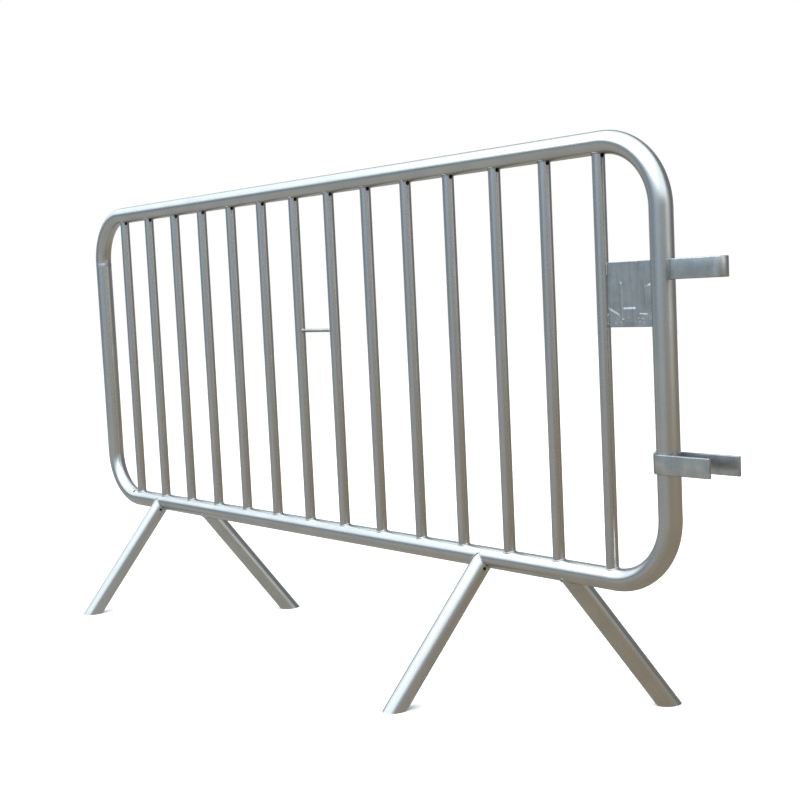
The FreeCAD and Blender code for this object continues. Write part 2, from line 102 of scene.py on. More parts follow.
def zincFinish(name, recipe):
    made = bpy.data.materials.new(name)
    made.use_nodes = True
    tree = made.node_tree
    link = tree.links.new
    shader = tree.nodes["Principled BSDF"]
    shader.inputs["Metallic"].default_value = 1.0
    place = addNode(tree, "ShaderNodeTexCoord")
    # crystals of zinc, each a slightly different grey
    spangle = addNode(tree, "ShaderNodeTexVoronoi", Scale=recipe["spangle"])
    link(place.outputs["Object"], spangle.inputs["Vector"])
    crystal = addNode(tree, "ShaderNodeSeparateColor")
    link(spangle.outputs["Color"], crystal.inputs["Color"])
    # broad patches where the zinc cooled duller
    patches = addNode(tree, "ShaderNodeTexNoise", Scale=recipe["patch"], Detail=2.0, Roughness=0.5)
    link(place.outputs["Object"], patches.inputs["Vector"])
    # runs and draw marks along the metal; every swept piece is mapped with its length along V
    stretch = addNode(tree, "ShaderNodeMapping")
    stretch.inputs["Scale"].default_value = zincSkin["draw"]
    streaks = addNode(tree, "ShaderNodeTexNoise", Scale=1.0, Detail=4.0, Roughness=0.6)
    link(place.outputs["UV"], stretch.inputs["Vector"])
    link(stretch.outputs["Vector"], streaks.inputs["Vector"])
    cast = mixFloat(tree, zincSkin["drawShare"], patches.outputs["Fac"], streaks.outputs["Fac"])
    cast = mixFloat(tree, zincSkin["crystalShare"], cast, crystal.outputs["Red"])
    ramp = addNode(tree, "ShaderNodeValToRGB")
    ramp.color_ramp.elements[0].position = zincSkin["dullAt"]
    ramp.color_ramp.elements[0].color = (*recipe["dull"], 1)
    ramp.color_ramp.elements[1].position = zincSkin["lightAt"]
    ramp.color_ramp.elements[1].color = (*recipe["light"], 1)
    link(cast, ramp.inputs["Fac"])
    link(ramp.outputs["Color"], shader.inputs["Base Color"])
    rough = addNode(tree, "ShaderNodeMapRange")
    rough.inputs["From Min"].default_value = zincSkin["roughFrom"]
    rough.inputs["From Max"].default_value = zincSkin["roughTo"]
    rough.inputs["To Min"].default_value = recipe["rough"] + zincSkin["dullRougher"]
    rough.inputs["To Max"].default_value = recipe["rough"] - zincSkin["lightSmoother"]
    link(cast, rough.inputs["Value"])
    link(rough.outputs["Result"], shader.inputs["Roughness"])
    # the skin of the zinc: a slow wave from draining, and a fine grain
    wave = addNode(tree, "ShaderNodeTexNoise", Scale=zincSkin["waveScale"], Detail=2.0)
    grain = addNode(tree, "ShaderNodeTexNoise", Scale=zincSkin["grainScale"], Detail=1.0)
    link(place.outputs["Object"], wave.inputs["Vector"])
    link(place.outputs["Object"], grain.inputs["Vector"])
    waveBump = addNode(tree, "ShaderNodeBump", Strength=recipe["wave"], Distance=zincSkin["waveDepth"])
    grainBump = addNode(tree, "ShaderNodeBump", Strength=zincSkin["grain"])
    grainBump.inputs["Distance"].default_value = zincSkin["grainDepth"]
    link(wave.outputs["Fac"], waveBump.inputs["Height"])
    link(grain.outputs["Fac"], grainBump.inputs["Height"])
    link(waveBump.outputs["Normal"], grainBump.inputs["Normal"])
    link(grainBump.outputs["Normal"], shader.inputs["Normal"])
    return made


finishes = {name: zincFinish("zinc" + name.capitalize(), recipe) for name, recipe in zinc.items()}
print("zinc finishes ready")


# the panel's places, read from the frame
frameLow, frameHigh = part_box("frame_tube")
tubeRadius = (frameHigh.y - frameLow.y) / 2
middleX = (frameHigh.x + frameLow.x) / 2
postReach = (frameHigh.x - frameLow.x) / 2 - tubeRadius
topZ = frameHigh.z - tubeRadius
lowZ = frameLow.z + tubeRadius
barNames = sorted(name for name in nodes if name.startswith("infill_bar"))
barPlaces = [(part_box(name)[0].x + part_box(name)[1].x) / 2 for name in barNames]
barRadius = (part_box(barNames[0])[1].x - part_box(barNames[0])[0].x) / 2
rightPost = middleX + postReach


meshing = {
    "sharpAngle": 32,       # degrees at which an edge between two faces is left sharp
    "drillSides": 32,
}


def markEdges(work):
    limit = math.radians(meshing["sharpAngle"])
    for face in work.faces:
        face.smooth = True
    for edge in work.edges:
        if len(edge.link_faces) == 2 and edge.calc_face_angle(0) > limit:
            edge.smooth = False


def bandsOf(work, rings, closedAlong, uvLayer):
    # quads between neighbouring rings, mapped with metres round the ring as U and along it as V
    made = [[work.verts.new(point) for point in ring] for ring in rings]
    count = len(rings[0])
    steps = len(rings) if closedAlong else len(rings) - 1
    along = 0.0
    for step in range(steps):
        here, there = made[step], made[(step + 1) % len(rings)]
        stride = (Vector(rings[step][0]) - Vector(rings[(step + 1) % len(rings)][0])).length
        girth = sum((Vector(rings[step][k]) - Vector(rings[step][k - 1])).length for k in range(count))
        for k in range(count):
            turn = (k + 1) % count
            face = work.faces.new((here[k], here[turn], there[turn], there[k]))
            corners = ((k, 0), (k + 1, 0), (k + 1, 1), (k, 1))
            for loop, (around, far) in zip(face.loops, corners):
                loop[uvLayer].uv = (around / count * girth, along + far * stride)
        along += stride
    return made


def capEnds(work, made):
    work.faces.new(list(reversed(made[0])))
    work.faces.new(made[-1])


def newPiece(name, work, finish, replaced):
    bmesh.ops.recalc_face_normals(work, faces=work.faces)
    markEdges(work)
    mesh = bpy.data.meshes.new(name)
    work.to_mesh(mesh)
    work.free()
    piece = bpy.data.objects.new(name, mesh)
    scene.collection.objects.link(piece)
    mesh.materials.append(finishes[finish])
    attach(piece, "root")
    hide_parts(*replaced)
    return piece


def startMesh():
    work = bmesh.new()
    return work, work.loops.layers.uv.new("length")


def ringAround(centre, first, second, radius, sides):
    ring = []
    for k in range(sides):
        turn = fullTurn * k / sides
        ring.append(centre + radius * (math.cos(turn) * first + math.sin(turn) * second))
    return ring


def drill(piece, at, toward, radius, depth):
    work = bmesh.new()
    turn = Vector(toward).to_track_quat("Z", "Y").to_matrix().to_4x4()
    place = Matrix.Translation(Vector(at) + Vector(toward).normalized() * depth / 2) @ turn
    bmesh.ops.create_cone(work, cap_ends=True, segments=meshing["drillSides"],
                          radius1=radius, radius2=radius, depth=depth, matrix=place)
    mesh = bpy.data.meshes.new("drillBit")
    work.to_mesh(mesh)
    work.free()
    bit = bpy.data.objects.new("drillBit", mesh)
    scene.collection.objects.link(bit)
    cutting = piece.modifiers.new("hole", "BOOLEAN")
    cutting.operation = "DIFFERENCE"
    cutting.solver = "EXACT"
    cutting.object = bit
    bpy.context.view_layer.update()
    result = bpy.data.meshes.new_from_object(piece.evaluated_get(bpy.context.evaluated_depsgraph_get()))
    piece.modifiers.clear()
    piece.data = result
    bpy.data.objects.remove(bit)
    tidy = bmesh.new()
    tidy.from_mesh(result)
    markEdges(tidy)
    tidy.to_mesh(result)
    tidy.free()


frameTube = {
    "bend": 0.124,          # bend radius at the tube's axis
    "wall": 0.0015,
    "sides": 48,
    "bendSteps": 26,
    "runShares": (0.25, 0.5, 0.75),     # where rings stand along each straight run
    "pinch": 0.02,          # how much a bend flattens the tube
    "drainRadius": 0.0035,
    "drainTurn": 8,         # degrees round the bend from the rail
    "drainTilt": 35,        # degrees out of the panel
}


def frameStations():
    # places round the loop: the tube's middle, its outward direction, and how far it is into a bend
    bend = frameTube["bend"]
    inX, inZ = postReach - bend, (topZ - lowZ) / 2 - bend
    midZ = (topZ + lowZ) / 2
    stations = []
    for corner in range(4):
        turnX = (1, 1, -1, -1)[corner]
        turnZ = (-1, 1, 1, -1)[corner]
        heart = Vector((middleX + turnX * inX, 0, midZ + turnZ * inZ))
        start = (corner - 1) * math.pi / 2
        for step in range(frameTube["bendSteps"] + 1):
            share = step / frameTube["bendSteps"]
            angle = start + share * math.pi / 2
            outward = Vector((math.cos(angle), 0, math.sin(angle)))
            stations.append((heart + bend * outward, outward, math.sin(math.pi * share)))
        # the straight run to the next corner
        nextX = (1, -1, -1, 1)[corner]
        nextZ = (1, 1, -1, -1)[corner]
        nextHeart = Vector((middleX + nextX * inX, 0, midZ + nextZ * inZ))
        for share in frameTube["runShares"]:
            stations.append((heart.lerp(nextHeart, share) + bend * outward, outward, 0.0))
    return stations


def makeFrameTube():
    work, uvLayer = startMesh()
    stations = frameStations()
    across = Vector((0, 1, 0))
    for radius in (tubeRadius, tubeRadius - frameTube["wall"]):
        rings = []
        for centre, outward, depth in stations:
            squeezed = outward * (1 - frameTube["pinch"] * depth)
            rings.append(ringAround(centre, squeezed, across, radius, frameTube["sides"]))
        bandsOf(work, rings, True, uvLayer)
    half = len(work.faces) // 2
    piece = newPiece("frameTube", work, "tube", ["frame_tube"])
    # the bore's skin faces into the bore
    tidy = bmesh.new()
    tidy.from_mesh(piece.data)
    tidy.faces.ensure_lookup_table()
    for first, wantOut in ((0, True), (half, False)):
        sample = tidy.faces[first]
        centre = stations[0][0]
        facesOut = sample.normal.dot(sample.calc_center_median() - centre) > 0
        if facesOut != wantOut:
            bmesh.ops.reverse_faces(tidy, faces=tidy.faces[first:first + half])
    tidy.to_mesh(piece.data)
    tidy.free()
    turn, tilt = math.radians(frameTube["drainTurn"]), math.radians(frameTube["drainTilt"])
    bend = frameTube["bend"]
    for side in (-1, 1):
        level = lowZ + bend if side < 0 else topZ - bend
        heart = Vector((middleX + side * (postReach - bend), 0, level))
        outward = Vector((side * math.sin(turn), 0, side * math.cos(turn)))
        flat = math.cos(tilt)
        inward = Vector((-outward.x * flat, side * math.sin(tilt), -outward.z * flat))
        drill(piece, heart + bend * outward, inward, frameTube["drainRadius"], 2 * tubeRadius)
    return piece


vent = {
    "turn": 14,             # degrees out of the panel
    "barRadius": 0.004, "barDrop": 0.023,       # each drop is taken from the rail's axis
    "legRadius": 0.0035, "legDrop": 0.024,
}
infillBar = {
    "wall": 0.0012, "sides": 40,
    "shares": (0.0, 0.02, 0.25, 0.5, 0.75, 0.98, 1.0),      # where rings stand from rail to rail
}


def ventWay(side):
    # along the rail, turned out of the panel towards this side
    turn = math.radians(vent["turn"])
    return Vector((-side * math.cos(turn), side * math.sin(turn), 0))


def copedZ(level, across, upward):
    # where an upright line at this offset from the rail's axis meets the rail
    rise = math.sqrt(max(tubeRadius ** 2 - across ** 2, 0.0))
    return level + rise if upward else level - rise


def makeBar(index):
    work, uvLayer = startMesh()
    x = barPlaces[index]
    sides = infillBar["sides"]
    outer, inner = [], []
    for rings, radius in ((outer, barRadius), (inner, barRadius - infillBar["wall"])):
        for share in infillBar["shares"]:
            ring = []
            for k in range(sides):
                turn = fullTurn * k / sides
                y = radius * math.sin(turn)
                bottom, top = copedZ(lowZ, y, True), copedZ(topZ, y, False)
                ring.append(Vector((x + radius * math.cos(turn), y, bottom + (top - bottom) * share)))
            rings.append(ring)
    bandsOf(work, outer + inner[::-1], True, uvLayer)
    number = index + 1
    piece = newPiece(f"infillBar{number:02d}", work, "bar", [barNames[index]])
    drill(piece, (x, 0, topZ - vent["barDrop"]), ventWay(-1), vent["barRadius"], 2 * barRadius)
    return piece


leg = {
    "radius": 0.0212, "wall": 0.002, "sides": 48,
    "inset": 0.244,         # from the post's axis to the outer leg's top
    "gap": 0.220,           # between the tops of a pair
    "spread": 0.191,        # how far a foot stands out of the panel
    "lean": 0.082,          # and how far along it
    "shares": (0.0, 0.03, 0.3, 0.6, 0.97, 1.0),             # where rings stand from rail to ground
}
legPlaces = {
    # side of the panel, outer or inner leg of its pair, and which way it stands
    "leg_front_left": (-1, True, -1),
    "leg_rear_left": (-1, False, 1),
    "leg_front_right": (1, False, -1),
    "leg_rear_right": (1, True, 1),
}


def legAxis(side, outer, face):
    inset = leg["inset"] if outer else leg["inset"] + leg["gap"]
    top = Vector((middleX + side * (postReach - inset), 0, lowZ))
    lean = side if outer else -side
    foot = Vector((top.x + lean * leg["lean"], face * leg["spread"], 0))
    along = (foot - top).normalized()
    first = along.cross(Vector((0, 0, 1))).normalized()
    return top, along, first, along.cross(first)


def copedStep(offset, along):
    # how far down the leg a line at this offset leaves the rail
    a = along.y ** 2 + along.z ** 2
    b = 2 * (offset.y * along.y + offset.z * along.z)
    c = offset.y ** 2 + offset.z ** 2 - tubeRadius ** 2
    return (-b + math.sqrt(max(b * b - 4 * a * c, 0.0))) / (2 * a)


def makeLeg(node, place):
    work, uvLayer = startMesh()
    top, along, first, second = legAxis(*place)
    sides = leg["sides"]
    outer, inner = [], []
    for rings, radius in ((outer, leg["radius"]), (inner, leg["radius"] - leg["wall"])):
        for share in leg["shares"]:
            ring = []
            for k in range(sides):
                turn = fullTurn * k / sides
                offset = radius * (math.cos(turn) * first + math.sin(turn) * second)
                start = copedStep(offset, along)
                end = -(top.z + offset.z) / along.z
                ring.append(top + offset + along * (start + (end - start) * share))
            rings.append(ring)
    bandsOf(work, outer + inner[::-1], True, uvLayer)
    words = node.split("_")
    name = words[0] + words[1].capitalize() + words[2].capitalize()
    piece = newPiece(name, work, "tube", [node])
    at = top + along * vent["legDrop"]
    drill(piece, at, ventWay(place[2]), vent["legRadius"], 2 * leg["radius"])
    return piece


crossPin = {"sides": 24, "shares": (0.0, 0.1, 0.5, 0.9, 1.0)}


def pinPlace():
    # the pin's radius and level, and the middles of the two bars it joins
    low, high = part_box("cross_pin")
    middle = len(barPlaces) // 2
    return (high.z - low.z) / 2, (high.z + low.z) / 2, barPlaces[middle - 1], barPlaces[middle]


def makeCrossPin():
    radius, level, left, right = pinPlace()
    work, uvLayer = startMesh()
    rings = []
    for share in crossPin["shares"]:
        ring = []
        for k in range(crossPin["sides"]):
            turn = fullTurn * k / crossPin["sides"]
            y, z = radius * math.cos(turn), radius * math.sin(turn)
            reach = math.sqrt(barRadius ** 2 - y * y)
            ring.append(Vector((left + reach + (right - left - 2 * reach) * share, y, level + z)))
        rings.append(ring)
    capEnds(work, bandsOf(work, rings, False, uvLayer))
    return newPiece("crossPin", work, "weld", ["cross_pin"])


flatBar = {
    "thick": 0.005, "round": 0.0014, "roundSteps": 4, "bendSteps": 22,
    "endShrink": 0.35,      # how much of the rounding the cut ends have
    "sawnSlope": 0.5,       # faces that look further up or down than this were sawn
}
couplingHook = {
    "slack": 0.0013,        # room between the post and the arm's line
    "curl": 0.012, "lip": 0.008,                # the curled end's inside radius, and its straight tip
    "knee": 0.006, "kneeSteps": 8,              # the bend beside the root
    "rootAcross": 0.86, "rootBehind": 0.14,     # shares of the post's radius
    "setback": 0.004,       # how far the root is brought forward of that
    "frontShares": (0.3, 0.7),
    "weldArc": (-26, 10), "weldSteps": 20,      # degrees round the post
}
couplingClip = {
    "slack": 0.0013,
    "armStart": 0.04,       # from the post's middle to where the arms run straight
    "frontEnd": 0.103,
    # the beads under and over the bend: degrees round the post, and size
    "weldUnder": (132, 228, 0.0022), "weldOver": (160, 218, 0.0030), "weldSteps": 36,
}


def arcPoints(heart, radius, start, end, steps):
    x, y = heart
    points = []
    for k in range(steps + 1):
        turn = start + (end - start) * k / steps
        points.append(Vector((x + radius * math.cos(turn), y + radius * math.sin(turn), 0)))
    return points


def stripSection(height):
    # a rounded rectangle: how far out of the bar's inner face, and how high
    thick, radius, steps = flatBar["thick"], flatBar["round"], flatBar["roundSteps"]
    section = []
    for corner in range(4):
        heartOut = thick - radius if corner in (0, 3) else radius
        heartUp = height / 2 - radius if corner in (0, 1) else radius - height / 2
        for step in range(steps + 1):
            turn = (corner + step / steps) * math.pi / 2
            section.append((heartOut + radius * math.cos(turn), heartUp + radius * math.sin(turn)))
    return section


def dressSawn(piece):
    # the narrow faces that look up or down were sawn, and are duller than the rolled ones
    piece.data.materials.append(finishes["sawn"])
    for face in piece.data.polygons:
        if abs(face.normal.z) > flatBar["sawnSlope"]:
            face.material_index = 1
    return piece


def makeStrip(name, path, height, level, replaced):
    # path is the line of the bar's inner face in plan; its outside lies to the right of its run
    section = stripSection(height)
    work, uvLayer = startMesh()
    rings = []
    for k, point in enumerate(path):
        before = path[max(k - 1, 0)]
        after = path[min(k + 1, len(path) - 1)]
        run = (after - before).normalized()
        outward = Vector((run.y, -run.x, 0))
        rings.append([point + outward * out + Vector((0, 0, level + up)) for out, up in section])
    # ends dressed with a file: each finishes in a slightly smaller ring
    for end, inner in ((0, 1), (-1, -2)):
        centre = sum(rings[end], Vector()) / len(section)
        run = (path[inner] - path[end]).normalized() * flatBar["round"]
        shrink = flatBar["endShrink"] * flatBar["round"]
        softened = []
        for corner in rings[end]:
            spoke = corner - centre
            softened.append(centre + spoke * (1 - shrink / spoke.length))
        rings[end] = [corner + run for corner in rings[end]]
        if end == 0:
            rings.insert(0, softened)
        else:
            rings.append(softened)
    capEnds(work, bandsOf(work, rings, False, uvLayer))
    return dressSawn(newPiece(name, work, "flat", replaced))


def makeHook():
    low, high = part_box("coupling_hook")
    height, level = high.z - low.z, (high.z + low.z) / 2
    knee, curl = couplingHook["knee"], couplingHook["curl"]
    front = -tubeRadius - couplingHook["slack"]
    curlX = high.x - flatBar["thick"] - curl
    rootX = rightPost + tubeRadius * couplingHook["rootAcross"]
    rootY = tubeRadius * couplingHook["rootBehind"] - couplingHook["setback"]
    slant = math.sqrt(0.5) * knee
    kneeX = rootX + rootY - (front + knee - slant) + slant
    quarter = math.pi / 2
    path = [Vector((rootX, rootY, 0))]
    path += arcPoints((kneeX, front + knee), knee, -1.5 * quarter, -quarter, couplingHook["kneeSteps"])
    for share in couplingHook["frontShares"]:
        path.append(Vector((kneeX + (curlX - kneeX) * share, front, 0)))
    path += arcPoints((curlX, front + curl), curl, -quarter, quarter, flatBar["bendSteps"])
    path.append(Vector((curlX - couplingHook["lip"], front + 2 * curl, 0)))
    return makeStrip("couplingHook", path, height, level, ["coupling_hook"])


def makeClip():
    low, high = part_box("coupling_clip")
    height, level = high.z - low.z, (high.z + low.z) / 2
    inside = tubeRadius + couplingClip["slack"]
    heartX = rightPost + couplingClip["slack"]
    armX = heartX + couplingClip["armStart"]
    frontX = rightPost + couplingClip["frontEnd"]
    quarter = math.pi / 2
    # round the post from the rear arm to the front arm, so that its outside is on the right of the run
    path = [Vector((high.x, inside, 0)), Vector((armX, inside, 0))]
    path += arcPoints((heartX, 0), inside, quarter, 3 * quarter, flatBar["bendSteps"])
    path += [Vector((armX, -inside, 0)), Vector((frontX, -inside, 0))]
    return makeStrip("couplingClip", path, height, level, ["coupling_clip"])


idPlate = {
    "across": 110, "up": 124, "edge": 0.0006,
    "ripple": 0.0005, "rippleScale": 34,        # how far the sheet waves
    "emboss": 0.0011, "backShare": 0.8,         # how far the pressed shapes stand out, and less behind
    "runs": 0.0005, "runScale": (210, 22), "runOver": 0.15,     # zinc that froze as it ran down
    # the pressed shapes, in shares of the sheet's width and height
    "dentEdge": 0.012,
    "dents": (
        {"deep": 1.0, "sides": (0.34, 0.62), "ledge": 0.29, "slant": 0.0, "top": 0.72, "sharp": 0.008},
        {"deep": 0.9, "sides": (0.02, 0.27), "ledge": 0.30, "slant": 0.45, "top": 0.62, "sharp": 0.010},
    ),
    "folds": (
        {"high": 0.7, "start": (0.31, 0.12), "end": (0.30, 0.66), "width": 0.022},
        {"high": 0.5, "start": (0.84, 0.30), "end": (0.84, 0.60), "width": 0.020},
        {"high": 0.9, "start": (0.90, 0.60), "end": (0.93, 0.62), "width": 0.022},
        {"high": 0.5, "start": (0.70, 0.19), "end": (0.86, 0.18), "width": 0.016},
    ),
    "pocks": {"high": 0.8, "scale": (31, 36), "over": 0.1, "band": (0.03, 0.17), "soft": (0.01, 0.02)},
}


def softStep(value, width):
    return 1 / (1 + math.exp(-value / width))


def foldHeight(across, up, fold):
    # a rounded fold between two places
    away = Vector((across, up)) - Vector(fold["start"])
    run = Vector(fold["end"]) - Vector(fold["start"])
    share = min(max(away.dot(run) / run.length_squared, 0.0), 1.0)
    far = (away - run * share).length
    return fold["high"] * math.exp(-(far / fold["width"]) ** 2)


def dentDepth(across, up, dent):
    # a hollow that deepens downwards and ends at a ledge
    left, right = dent["sides"]
    edge, top = idPlate["dentEdge"], dent["top"]
    ledge = dent["ledge"] - dent["slant"] * across
    inside = softStep(across - left, edge) * softStep(right - across, edge)
    inside *= softStep(up - ledge, dent["sharp"])
    return dent["deep"] * (inside * min(max((top - up) / (top - ledge), 0.0), 1.0))


def plateRelief(across, up):
    # pressed shapes with nothing to read: a sunk field, a slanting dent beside it, folds and pocks
    height = 0.0
    for dent in idPlate["dents"]:
        height -= dentDepth(across, up, dent)
    for fold in idPlate["folds"]:
        height += foldHeight(across, up, fold)
    pocks = idPlate["pocks"]
    scaleX, scaleZ = pocks["scale"]
    (low, high), (softLow, softHigh) = pocks["band"], pocks["soft"]
    depth = max(noise.noise(Vector((across * scaleX, up * scaleZ, 8.5))) - pocks["over"], 0.0)
    return height + pocks["high"] * depth * softStep(high - up, softHigh) * softStep(up - low, softLow)


def plateRuns(x, z):
    # narrow runs, longer than they are wide
    scaleX, scaleZ = idPlate["runScale"]
    run = noise.noise(Vector((x * scaleX, z * scaleZ, 4.1)))
    return max(run - idPlate["runOver"], 0.0)


def makePlate():
    low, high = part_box("id_plate")
    work, uvLayer = startMesh()
    wide, tall, thick = high.x - low.x, high.z - low.z, high.y - low.y
    across, up = idPlate["across"], idPlate["up"]
    edge, wavy = idPlate["edge"], idPlate["rippleScale"]
    sheets = []
    for face in (-1, 1):
        rows = []
        for j in range(up + 1):
            row = []
            for i in range(across + 1):
                u, v = i / across, j / up
                x, z = low.x + wide * u, low.z + tall * v
                relief = plateRelief(u, v) * idPlate["emboss"]
                relief += plateRuns(x, z) * idPlate["runs"] * (1 if face < 0 else 0)
                ripple = noise.noise(Vector((x * wavy, z * wavy, 1.7))) * idPlate["ripple"]
                # both faces move the same way, as a pressed sheet does
                half = thick / 2 - (edge if j in (0, up) else 0)
                y = face * half - relief * (1 if face < 0 else idPlate["backShare"]) + ripple
                row.append(work.verts.new((x, y, z)))
            rows.append(row)
        sheets.append(rows)
    front, back = sheets
    for rows, flip in ((front, False), (back, True)):
        for j in range(up):
            for i in range(across):
                corners = [rows[j][i], rows[j][i + 1], rows[j + 1][i + 1], rows[j + 1][i]]
                face = work.faces.new(corners[::-1] if flip else corners)
                for loop in face.loops:
                    loop[uvLayer].uv = (loop.vert.co.x - low.x, loop.vert.co.z - low.z)
    for i in range(across):
        work.faces.new((front[0][i + 1], front[0][i], back[0][i], back[0][i + 1]))
        work.faces.new((front[up][i], front[up][i + 1], back[up][i + 1], back[up][i]))
    for j in range(up):
        work.faces.new((front[j][0], front[j + 1][0], back[j + 1][0], back[j][0]))
        work.faces.new((front[j + 1][across], front[j][across], back[j][across], back[j + 1][across]))
    return dressSawn(newPiece("idPlate", work, "flat", ["id_plate"]))


weld = {
    "pitch": 0.0036, "ripple": 0.16,    # how far apart the ripples are, and how high
    "step": 0.0009, "sides": 10,
    "lump": 0.3, "lumpScale": 130,
    "endSize": 0.25, "endShare": 6,     # how thin an open bead starts, and how soon it is full
    "barSize": 0.0015, "barTurns": 48,
    "legSize": 0.0018, "legTurns": 72,
    "pinSize": 0.0012, "hookSize": 0.0008,
    "stitchSize": 0.0012, "stitch": 0.024,
    "stitchInset": 0.001, "stitchProud": 0.0008,
}


def smoothLine(points, closed):
    # evenly spaced places along a line of points
    line = list(points) + ([points[0]] if closed else [])
    lengths = [0.0]
    for here, there in zip(line, line[1:]):
        lengths.append(lengths[-1] + (there - here).length)
    count = max(int(lengths[-1] / weld["step"]), 8)
    places, segment = [], 0
    for k in range(count if closed else count + 1):
        goal = lengths[-1] * k / count
        while lengths[segment + 1] < goal and segment < len(line) - 2:
            segment += 1
        span = lengths[segment + 1] - lengths[segment]
        places.append(line[segment].lerp(line[segment + 1], (goal - lengths[segment]) / max(span, 1e-9)))
    return places


def addBead(work, uvLayer, points, radius, closed, seed):
    places = smoothLine(points, closed)
    count = len(places)
    rings = []
    side = None
    for k, place in enumerate(places):
        ahead = places[(k + 1) % count] if closed or k < count - 1 else place
        behind = places[k - 1] if closed or k > 0 else place
        run = (ahead - behind).normalized()
        if side is None:
            side = run.orthogonal().normalized()
        side = (side - run * side.dot(run)).normalized()
        up = run.cross(side)
        travel = k * weld["step"]
        wave = math.sin(fullTurn * travel / weld["pitch"] + seed)
        lump = noise.noise(place * weld["lumpScale"] + Vector((seed, 0, 0)))
        girth = radius * (1 + weld["ripple"] * wave + weld["lump"] * lump)
        if not closed:
            girth *= min(1.0, weld["endSize"] + weld["endShare"] * min(k, count - 1 - k) / count)
        rings.append(ringAround(place, side, up, girth, weld["sides"]))
    made = bandsOf(work, rings, closed, uvLayer)
    if not closed:
        capEnds(work, made)


def openTurns(middle, gap, count):
    # turns of a ring that leaves a gap round its middle; without a gap the ring closes
    last = count - 1 if gap else count
    return [middle + gap / 2 + (fullTurn - gap) * k / last for k in range(count)]


def barSaddle(x, level, upward, gap):
    points = []
    for turn in openTurns(-math.radians(vent["turn"]), gap, weld["barTurns"]):
        y = barRadius * math.sin(turn)
        points.append(Vector((x + barRadius * math.cos(turn), y, copedZ(level, y, upward))))
    return points


def makeBarWelds(name, level, upward, replaced):
    # the top rings stop at the vent holes
    gap = 0.0 if upward else 2 * math.asin(vent["barRadius"] / barRadius)
    work, uvLayer = startMesh()
    for index, x in enumerate(barPlaces):
        saddle = barSaddle(x, level, upward, gap)
        addBead(work, uvLayer, saddle, weld["barSize"], gap == 0.0, index * 1.3)
    return newPiece(name, work, "weld", [replaced])


def makeLegWelds():
    work, uvLayer = startMesh()
    for index, place in enumerate(legPlaces.values()):
        top, along, first, second = legAxis(*place)
        way = ventWay(place[2])
        gap = 2 * math.asin(vent["legRadius"] / leg["radius"])
        points = []
        for turn in openTurns(math.atan2(way.dot(second), way.dot(first)), gap, weld["legTurns"]):
            offset = leg["radius"] * (math.cos(turn) * first + math.sin(turn) * second)
            points.append(top + offset + along * copedStep(offset, along))
        addBead(work, uvLayer, points, weld["legSize"], False, index * 2.1)
    return newPiece("legWelds", work, "weld", ["leg_welds"])


def makePinWelds():
    radius, level, left, right = pinPlace()
    sides = crossPin["sides"]
    work, uvLayer = startMesh()
    for x, side in ((left, 1), (right, -1)):
        points = []
        for k in range(sides):
            turn = fullTurn * k / sides
            y = radius * math.cos(turn)
            reach = math.sqrt(barRadius ** 2 - y * y)
            points.append(Vector((x + side * reach, y, level + radius * math.sin(turn))))
        addBead(work, uvLayer, points, weld["pinSize"], True, side * 2.0)
    return newPiece("crossPinWelds", work, "weld", ["cross_pin_welds"])


def makePlateWelds():
    low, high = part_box("id_plate")
    thick = (high.y - low.y) / 2
    stitch, inset = weld["stitch"], weld["stitchInset"]
    work, uvLayer = startMesh()
    seed = 0
    for face in (-1, 1):
        for bottom in (low.z + inset, high.z - stitch - inset):
            for x in (barPlaces[-1] + barRadius, rightPost - tubeRadius):
                y = face * (thick + weld["stitchProud"])
                line = [Vector((x, y, bottom)), Vector((x, y, bottom + stitch))]
                addBead(work, uvLayer, line, weld["stitchSize"], False, seed)
                seed += 1
    return newPiece("idPlateWelds", work, "weld", ["id_plate_welds"])


def addPostBead(work, uvLayer, level, reach, arc, steps, size, seed):
    # a bead that lies along the post's skin for part of its girth, in degrees
    start, end = arc
    points = arcPoints((rightPost, 0), reach, math.radians(start), math.radians(end), steps)
    addBead(work, uvLayer, [point + Vector((0, 0, level)) for point in points], size, False, seed)


def makeHookWeld():
    # two short beads, under and over the hook's root
    size, steps = weld["hookSize"], couplingHook["weldSteps"]
    work, uvLayer = startMesh()
    for seed, corner in enumerate(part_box("coupling_hook")):
        reach = tubeRadius + size / 3
        addPostBead(work, uvLayer, corner.z, reach, couplingHook["weldArc"], steps, size, seed)
    return newPiece("couplingHookWeld", work, "weld", ["coupling_hook_weld"])


def makeClipWelds():
    beads = (couplingClip["weldUnder"], couplingClip["weldOver"])
    steps = couplingClip["weldSteps"]
    work, uvLayer = startMesh()
    for seed, (corner, (start, end, size)) in enumerate(zip(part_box("coupling_clip"), beads)):
        reach = tubeRadius + 0.8 * size
        addPostBead(work, uvLayer, corner.z, reach, (start, end), steps, size, seed)
    return newPiece("couplingClipWelds", work, "weld", ["coupling_clip_welds"])


buttWeld = {
    "half": 0.0050, "proud": 0.00022, "sunk": 0.0008, "sides": 96,
    "rim": 0.00004,         # how far its edges lie under the tube's skin
    "wander": 0.0006, "uneven": 0.3,
}


